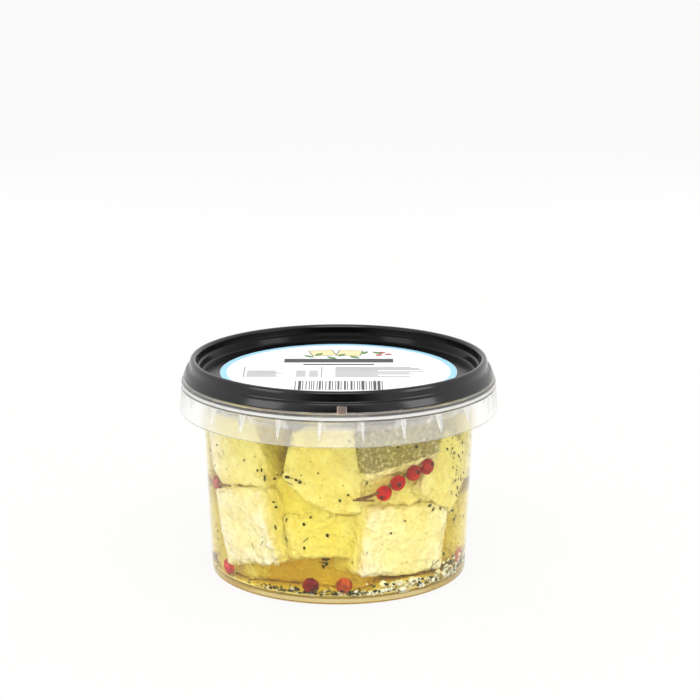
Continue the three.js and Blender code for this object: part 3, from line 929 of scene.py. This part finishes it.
def curd_sheet():
    """The thin uneven layer of fine curd on the tub's floor, heaped under one front cube."""
    low = FLOOR_Z + 0.06
    rings = [0, 8, 16, 22, 27, 31, 33.5, 35.3, 36.6, CURD_RADIUS]
    edge = [(radius, low + 0.12) for radius in rings] + [(CURD_RADIUS + 0.1, low), (0, low)]
    bm = turned(edge, 120)
    for vert in bm.verts:
        if vert.co.z > low + 0.05:
            azimuth = math.degrees(math.atan2(vert.co.x, -vert.co.y))
            sidewise = CURD_MOUND["half_width"] - abs(azimuth - CURD_MOUND["azimuth"])
            inwards = CURD_RADIUS - math.hypot(vert.co.x, vert.co.y)
            mound = smooth_step(sidewise / 8) * smooth_step(inwards / 3.4)
            vert.co.z += 0.28 * (0.6 + noise.fractal(vert.co * 0.35, 0.8, 2.1, 4))
            vert.co.z += CURD_MOUND["height"] * mound
    return bm


def smooth_step(share):
    """0 below zero, 1 above one, and a soft rise between them."""
    share = max(0.0, min(1.0, share))
    return share * share * (3 - 2 * share)


def add_stick(bm, place, along, size, thickness):
    """Add one thin bit of stem."""
    turn = Vector(along).to_track_quat("Z", "Y").to_matrix().to_4x4()
    bmesh.ops.create_cone(bm, cap_ends=True, segments=5, radius1=thickness, radius2=thickness * 0.6,
                          depth=size, matrix=Matrix.Translation(place) @ turn)


def cheese_tree():
    """All the feta in millimetres, as one tree for rays."""
    whole = bmesh.new()
    for piece in bpy.context.scene.collection.objects:
        if piece.name.startswith("feta_c"):
            whole.from_mesh(piece.data)
    bmesh.ops.scale(whole, vec=Vector((1, 1, 1)) / MM, verts=whole.verts)
    tree = BVHTree.FromBMesh(whole)
    whole.free()
    return tree


def lie_on_cheese(tree, azimuth, z, deepest):
    """Where a bit that sinks in from the wall comes to lie, and the way it faces."""
    start = beside_wall(azimuth, z, 0.2)
    place, normal, _, depth = tree.ray_cast(start, inward(start))
    if place is None or depth > deepest:
        return None
    if normal.dot(inward(start)) > 0:
        normal = -normal
    return place + normal * 0.1, normal


def inward(place):
    """The direction from a point towards the tub's axis."""
    return Vector((-place.x, -place.y, 0)).normalized()


class FETATUB_OT_tub(bpy.types.Operator):
    """Build the clear tub with its collar, ribs and lug"""
    bl_idname = "feta_tub.tub"
    bl_label = "Clear tub"

    def execute(self, context):
        sizes, colours = context.scene.feta_sizes, context.scene.feta_colours
        body = turned(tub_profile(), sizes.round_steps, rounding=0.12)
        lug = block((LUG_X - LUG_WIDTH / 2, -COLLAR_TOP_RADIUS + 1.3, FLANGE_Z - 0.3),
                    (LUG_X + LUG_WIDTH / 2, -MOUTH_RADIUS + 0.3, MOUTH_Z))
        bm = combine(body, put_together(rib_parts() + [lug]), "UNION")
        for face in bm.faces:
            face.material_index = self.finish(face, sizes.oil_level / MM)
        make_piece("tub_shell", bm, [
            clear_polypropylene("clear_polypropylene", colours.plastic),
            milky_polypropylene("milky_polypropylene", colours.collar, 0.89),
            wetted_polypropylene(colours.plastic),
            # Webs and flange edge: whiter and less clear than the collar, a painted highlight
            milky_polypropylene("polypropylene_edge_painted_highlight", colours.collar, 0.62),
            # Base and foot: an amber tint that paints the light coming through the oil onto the
            # ground below
            milky_polypropylene("polypropylene_base_painted_oil_light", srgb("#C9AA54"), 0.84),
            # The lug: clear plastic tinted brownish grey, painted shade for the black lid behind it
            clear_polypropylene("polypropylene_lug_painted_shade", srgb("#A08A84")),
            # Groove and chamfer: milky plastic tinted grey, painted shade
            milky_polypropylene("polypropylene_groove_painted_shade", srgb("#6C6C6A"), 0.8),
        ], replaced=["tub"])
        return {"FINISHED"}

    @staticmethod
    def finish(face, oil_level):
        """Which of the tub's finishes, with its painted light and shade, a face has, by where it
        lies.
        """
        middle = face.calc_center_median()
        radius = math.hypot(middle.x, middle.y)
        # The lug in the lid's notch is tinted brownish grey: painted shade for the black lid behind
        # it
        if middle.z > FLANGE_Z + 0.05 and middle.y < -MOUTH_RADIUS:
            return LUG_PAINTED_SHADE
        if FLOOR_Z - 0.1 < middle.z < oil_level and radius < inner_radius(middle.z, 0) + 0.1:
            return WETTED
        # The base and foot below the floor take an amber tint: painted light from the oil, as if
        # lit through it
        if middle.z < FLOOR_Z - 0.1:
            return BASE_PAINTED_OIL_LIGHT
        if radius < 42.2:
            return CLEAR
        turn = math.degrees(math.atan2(middle.y, middle.x)) + 90 - RIB_PHASE
        pitch = 360 / RIB_COUNT
        beside = abs((turn + pitch / 2) % pitch - pitch / 2) * math.radians(1) * radius
        groove = abs(middle.z - BEAD_Z) < 0.3 and radius > COLLAR_TOP_RADIUS - 0.6
        chamfer = BEAD_Z + 1.15 < middle.z < FLANGE_Z - 0.1 and radius > COLLAR_TOP_RADIUS - 0.75
        # The groove and the chamfer under the flange are tinted grey: painted shade
        if groove or chamfer:
            return GROOVE_PAINTED_SHADE
        # The webs and the flange edge get a whiter, less clear finish: painted highlight
        web = beside < 0.6 and radius < COLLAR_RADIUS - 1.15 and middle.z < FLANGE_UNDER_Z - 0.3
        flange = middle.z > BEAD_Z + 0.3 and radius > MOUTH_RADIUS - 1
        return WHITE_PAINTED_HIGHLIGHT if web or flange else MILKY


class FETATUB_OT_lid(bpy.types.Operator):
    """Build the black lid"""
    bl_idname = "feta_tub.lid"
    bl_label = "Black lid"

    def execute(self, context):
        sizes, colours = context.scene.feta_sizes, context.scene.feta_colours
        body = turned(lid_profile(), sizes.round_steps, rounding=0.25)
        notch = block((LUG_X - NOTCH_WIDTH / 2, -LID_RADIUS - 1, LID_BOTTOM_Z - 1),
                      (LUG_X + NOTCH_WIDTH / 2, -MOUTH_RADIUS, NOTCH_TOP_Z))
        bm = combine(body, notch, "DIFFERENCE")
        for face in bm.faces:
            middle = face.calc_center_median()
            # The recess is the same plastic with less shine, so it reads darker: painted shade
            recess = math.hypot(middle.x, middle.y) < RIM_INNER_RADIUS + 0.1
            face.material_index = 1 if recess else 0
        make_piece("lid_shell", bm, [
            black_polypropylene("black_polypropylene", colours.lid, shine=0.5),
            # Less shine in the recess only to darken it: painted shade
            black_polypropylene("black_polypropylene_recess_painted_shade", colours.lid, shine=0.16),
        ], replaced=["lid"])
        return {"FINISHED"}


class FETATUB_OT_label(bpy.types.Operator):
    """Build the round paper label and its print"""
    bl_idname = "feta_tub.label"
    bl_label = "Paper label"

    def execute(self, context):
        sizes, colours = context.scene.feta_sizes, context.scene.feta_colours
        low, high, radius = LABEL_LOW.z, LABEL_HIGH.z, LABEL_HIGH.x
        disc = turned([(0, low), (radius, low), (radius, high), (0, high)], sizes.round_steps)
        make_piece("label_disc", disc, [label_paper(colours.paper)],
                   replaced=["lid_label"])
        inner = radius - sizes.label_border / MM
        printed = label_print(inner, radius - 0.05, high + 0.02)
        make_piece("label_print", printed, [
            printing_ink("light_blue_ink", colours.border),
            printing_ink("leaf_green_ink", srgb("#5E8C3A")),
            printing_ink("berry_red_ink", srgb("#C8453A")),
            printing_ink("black_ink", srgb("#26282B")),
            printing_ink("cream_ink", srgb("#F3E3AE")),
        ])
        return {"FINISHED"}


class FETATUB_OT_cubes(bpy.types.Operator):
    """Build the feta cubes"""
    bl_idname = "feta_tub.cubes"
    bl_label = "Feta cubes"

    def execute(self, context):
        sizes, colours = context.scene.feta_sizes, context.scene.feta_colours
        plain = feta_cheese("feta_curd", colours.feta)
        dusted = feta_cheese("feta_curd_with_ground_herbs", colours.feta, dust=srgb("#958B64"))
        # The low front cube's tint: partly a spice stain, partly painted shade
        stained = feta_cheese("feta_curd_stained_by_spice", srgb("#E6D09A"))
        for i, spec in enumerate(CUBES):
            bm = feta_cube(spec, i, sizes.cube_cuts)
            material = dusted if "dusted" in spec else stained if "stained" in spec else plain
            make_piece(f"feta_cube_{i + 1:02d}", bm, [material], replaced=["feta_heap"],
                       sharp=80)
        core = turned([(0, CORE["low"]), (CORE["radius"], CORE["low"]),
                       (CORE["radius"], CORE["high"]), (0, CORE["high"])], 32)
        make_piece("feta_core", core, [plain], replaced=["feta_heap"])
        return {"FINISHED"}


class FETATUB_OT_oil(bpy.types.Operator):
    """Fill the tub with oil"""
    bl_idname = "feta_tub.oil"
    bl_label = "Oil"

    def execute(self, context):
        sizes, colours = context.scene.feta_sizes, context.scene.feta_colours
        level = sizes.oil_level / MM
        into_wall = -0.15
        wall = [point for point in inner_profile(into_wall) if point[1] < level]
        edge = inner_radius(level + 0.4, into_wall)
        profile = [(0, FLOOR_Z + into_wall)] + wall + [
            (edge, level + 0.4), (edge - 0.8, level + 0.1), (edge - 2, level), (0, level)]
        bm = turned(profile, sizes.round_steps)
        for face in bm.faces:
            face.material_index = 0 if face.calc_center_median().z >= level - 0.01 else 1
        make_piece("oil", bm, [
            golden_oil("golden_oil", colours.oil, OIL_IOR),
            golden_oil("golden_oil_against_wall", colours.oil, 1.0),
        ])
        return {"FINISHED"}


class FETATUB_OT_peppercorns(bpy.types.Operator):
    """Build the sprig of pink peppercorns and the loose ones"""
    bl_idname = "feta_tub.peppercorns"
    bl_label = "Pink peppercorns"

    def execute(self, context):
        colours = context.scene.feta_colours
        skin = dry_plant("pink_peppercorn_skin", colours.berry, srgb("#A8140C"), 0.26, 2.0)
        scar = dry_plant("peppercorn_calyx", srgb("#4A2A18"), srgb("#2A160E"), 0.6, 1.11)
        wood = dry_plant("dry_stalk", srgb("#9B7442"), srgb("#6B4A28"), 0.6, 1.43)
        browner_skin = dry_plant("browner_peppercorn_skin", srgb("#C4281A"), srgb("#961C12"), 0.26, 2.38)
        parts = []
        for i, (azimuth, z) in enumerate(SPRIG_BERRIES):
            centre = beside_wall(azimuth, z, BERRY_RADIUS + CONTENT_GAP)
            scar_side = -inward(centre) + Vector((0.5 * i - 0.6, 0, 0.4 * i - 0.5))
            parts.append(peppercorn(centre, i, scar_side, wrinkle=0.07))
            # The two upper berries of the sprig get a darker, browner skin
            for face in parts[-1].faces:
                if i >= 2 and face.material_index == SKIN:
                    face.material_index = BROWNER_SKIN
        stem = stalk([beside_wall(*point) for point in STALK_POINTS], STALK_RADIUS)
        for face in stem.faces:
            face.material_index = WOOD
        make_piece("sprig", put_together(parts + [stem]), [skin, scar, wood, browner_skin],
                   replaced=["peppercorn_sprig"])
        for i, ((azimuth, z), (name, light, dark)) in enumerate(zip(LOOSE_BERRIES, LOOSE_SKINS)):
            centre = beside_wall(azimuth, z, BERRY_RADIUS + CONTENT_GAP)
            is_cut = name.startswith("dark_cut")
            tilt = (0.3, 0, 0.35) if is_cut else (math.sin(i * 2), 0, math.cos(i * 3))
            scar_side = -inward(centre) + Vector(tilt)
            bm = peppercorn(centre, 10 + i, scar_side, wrinkle=0.1, is_cut=is_cut)
            loose_skin = dry_plant(name, srgb(light), srgb(dark), 0.3, 2.38)
            make_piece(f"loose_peppercorn_{i + 1}", bm, [loose_skin, scar],
                       replaced=[f"peppercorn_{i + 1}"])
        for name, points in (("loose_stem", BERRY_LEFTOVER_STEM), ("stalk_fork", STALK_FORK)):
            stick = stalk([beside_wall(*point) for point in points], FORK_RADIUS)
            make_piece(name, stick, [wood])
        return {"FINISHED"}


class FETATUB_OT_herbs(bpy.types.Operator):
    """Scatter dried herbs and crumbs of feta through the oil"""
    bl_idname = "feta_tub.herbs"
    bl_label = "Herbs and crumbs"

    def execute(self, context):
        sizes, colours = context.scene.feta_sizes, context.scene.feta_colours
        tree = cheese_tree()
        leaf = dry_plant("dried_herb_leaf", colours.herb, srgb("#5A5A2A"), 0.6, 3.85)
        rng = random.Random(7)
        flakes = bmesh.new()
        bits = [(azimuth, z, 1.25 * size, FRONT_DEPTH, False) for azimuth, z, size in FRONT_LEAVES]
        bits += [(*stem_spot, FRONT_DEPTH, True) for stem_spot in FRONT_STEMS]
        for zone in HERB_ZONES:
            for _ in range(round(zone["count"] * sizes.herb_share)):
                bits.append((rng.uniform(*zone["azimuth"]), rng.uniform(*zone["z"]),
                             rng.uniform(*zone["length"]), zone.get("deepest", USUAL_DEPTH),
                             rng.random() < 0.2))
        for azimuth, z, size, deepest, is_stem in bits:
            found = lie_on_cheese(tree, azimuth, z, deepest)
            if found is None:
                continue
            place, normal = found
            if is_stem:
                along = normal.orthogonal() + 0.8 * Vector([rng.gauss(0, 1) for _ in range(3)])
                add_stick(flakes, place, along - normal * along.dot(normal), size, 0.14)
            else:
                facing = normal + Vector([rng.gauss(0, 0.3) for _ in range(3)])
                add_bit(flakes, place, facing, (size, size * rng.uniform(0.45, 0.8), 0.3), rng)
        make_piece("herbs_on_feta", flakes, [leaf])

        # Crumbs drawn whiter than the cut cheese: painted light against the shade near the floor
        curd = feta_cheese("feta_crumbs_painted_light", srgb("#FFFDF4"))
        # The floor sheet's amber sediment tint, made lighter as painted light against the shade it
        # lies in
        settled = feta_cheese("settled_curd_spice_and_painted_light", srgb("#FFEA9C"))
        make_piece("curd_sediment", curd_sheet(), [settled])
        sediment, crumbs = bmesh.new(), bmesh.new()
        for zone in FLOOR_ZONES:
            for _ in range(round(zone["count"] * sizes.herb_share)):
                angle = math.radians(rng.uniform(*zone["azimuth"]))
                edge = rng.uniform(*zone["inset"]) + 0.5
                z = FLOOR_Z + 0.3 + rng.random() ** 2 * zone["heap"]
                radius = inner_radius(z, 0) - edge
                place = Vector((radius * math.sin(angle), -radius * math.cos(angle), z))
                size = rng.uniform(*zone["length"])
                facing = (rng.gauss(0, 0.6), rng.gauss(0, 0.6), 1)
                if rng.random() < zone["crumbs"]:
                    add_bit(crumbs, place, facing, (size, size * 0.8, size * 0.6), rng)
                elif rng.random() < 0.2:
                    along = (rng.gauss(0, 1), rng.gauss(0, 1), rng.gauss(0, 0.2))
                    add_stick(sediment, place, along, size * 2.2, 0.12)
                else:
                    add_bit(sediment, place, facing, (size, size * 0.7, 0.5), rng)
        make_piece("herb_sediment", sediment, [leaf])
        make_piece("cheese_crumbs", crumbs, [curd])
        return {"FINISHED"}


class FETATUB_OT_stage(bpy.types.Operator):
    """Set up the pale floor, the soft light and the camera"""
    bl_idname = "feta_tub.stage"
    bl_label = "Stage, light and camera"

    def execute(self, context):
        scene = context.scene
        floor = bmesh.new()
        bmesh.ops.create_circle(floor, cap_ends=True, segments=64, radius=FLOOR_RADIUS)
        mesh = into_mesh(floor, "floor")
        ground = add_object("floor", mesh)
        # Opal acrylic lit from below: white without a hard shadow, and no glare on the tub
        made, tree, output = new_material("lit_opal_acrylic")
        opal = node(tree, "ShaderNodeBsdfPrincipled", {
            "Base Color": srgb("#5E5E5C"), "Roughness": 0.9, "Specular IOR Level": 0.0,
            "Emission Color": (1, 1, 1, 1), "Emission Strength": 0.845})
        tree.links.new(opal.outputs[0], output.inputs["Surface"])
        mesh.materials.append(made)

        world = bpy.data.worlds.new("light_tent")
        scene.world = world
        world.use_nodes = True
        tree = world.node_tree
        tree.nodes.clear()
        # The tent is white all round and dark in its opening, which the black lid mirrors
        towards = node(tree, "ShaderNodeTexCoord").outputs["Generated"]
        front = node(tree, "ShaderNodeVectorMath", {0: towards, 1: TENT_OPENING},
                     operation="DOT_PRODUCT")
        level = node(tree, "ShaderNodeMapRange", {
            "Value": front.outputs["Value"], "From Min": 0.81, "From Max": 0.97,
            "To Min": 0.97, "To Max": 0.02})
        tent = node(tree, "ShaderNodeBackground", {
            "Color": (1, 1, 1, 1), "Strength": level.outputs["Result"]})
        seen = node(tree, "ShaderNodeBackground", {"Color": (1, 1, 1, 1), "Strength": 0.98})
        path = node(tree, "ShaderNodeLightPath")
        mix = node(tree, "ShaderNodeMixShader", {
            0: path.outputs["Is Camera Ray"], 1: tent.outputs[0], 2: seen.outputs[0]})
        out = node(tree, "ShaderNodeOutputWorld", {"Surface": mix.outputs[0]})
        out.is_active_output = True

        for lamp in LAMPS:
            self.add_lamp(*lamp)

        camera = bpy.data.cameras.new("camera")
        camera.lens = CAMERA_LENS
        camera.sensor_width = 36
        holder = add_object("camera", camera)
        holder.location = Vector(CAMERA_PLACE_MM) * MM
        holder.rotation_euler = (math.radians(90 - CAMERA_PITCH), 0, 0)
        scene.camera = holder
        scene.view_settings.view_transform = "Standard"
        # The contents lie behind several clear walls, and light finds its way between the cubes
        scene.cycles.max_bounces = 20
        scene.cycles.diffuse_bounces = 10
        scene.cycles.transmission_bounces = 16
        scene.cycles.transparent_max_bounces = 32
        return {"FINISHED"}

    @staticmethod
    def add_lamp(name, place, size, power, glossy):
        """A square soft light aimed at the middle of the tub, mirrored in gloss or not."""
        lamp = bpy.data.lights.new(name, "AREA")
        lamp.size = size
        lamp.energy = power
        holder = add_object(name, lamp)
        holder.location = place
        aim = Vector(LAMP_AIM) - Vector(place)
        holder.rotation_euler = aim.to_track_quat("-Z", "Y").to_euler()
        holder.visible_camera = False
        holder.visible_glossy = glossy


class FETATUB_PT_panel(bpy.types.Panel):
    """The steps that build the tub, in order"""
    bl_label = "Feta Tub"
    bl_idname = "FETATUB_PT_panel"
    bl_space_type = "VIEW_3D"
    bl_region_type = "UI"
    bl_category = "Feta Tub"

    def draw(self, context):
        for step in STEPS:
            self.layout.operator(step.bl_idname)
        for group in (context.scene.feta_sizes, context.scene.feta_colours):
            for field in group.__annotations__:
                self.layout.prop(group, field)


STEPS = (
    FETATUB_OT_stage,
    FETATUB_OT_tub,
    FETATUB_OT_lid,
    FETATUB_OT_label,
    FETATUB_OT_cubes,
    FETATUB_OT_peppercorns,
    FETATUB_OT_herbs,
    FETATUB_OT_oil,
)
CLASSES = (FetaTubSizes, FetaTubColours, *STEPS, FETATUB_PT_panel)


def register():
    for item in CLASSES:
        bpy.utils.register_class(item)
    bpy.types.Scene.feta_sizes = PointerProperty(type=FetaTubSizes)
    bpy.types.Scene.feta_colours = PointerProperty(type=FetaTubColours)


def unregister():
    del bpy.types.Scene.feta_colours
    del bpy.types.Scene.feta_sizes
    for item in reversed(CLASSES):
        bpy.utils.unregister_class(item)


def main():
    register()
    bpy.ops.feta_tub.stage()
    bpy.ops.feta_tub.tub()
    bpy.ops.feta_tub.lid()
    bpy.ops.feta_tub.label()
    bpy.ops.feta_tub.cubes()
    bpy.ops.feta_tub.peppercorns()
    bpy.ops.feta_tub.herbs()
    bpy.ops.feta_tub.oil()


if __name__ == "__main__":
    main()
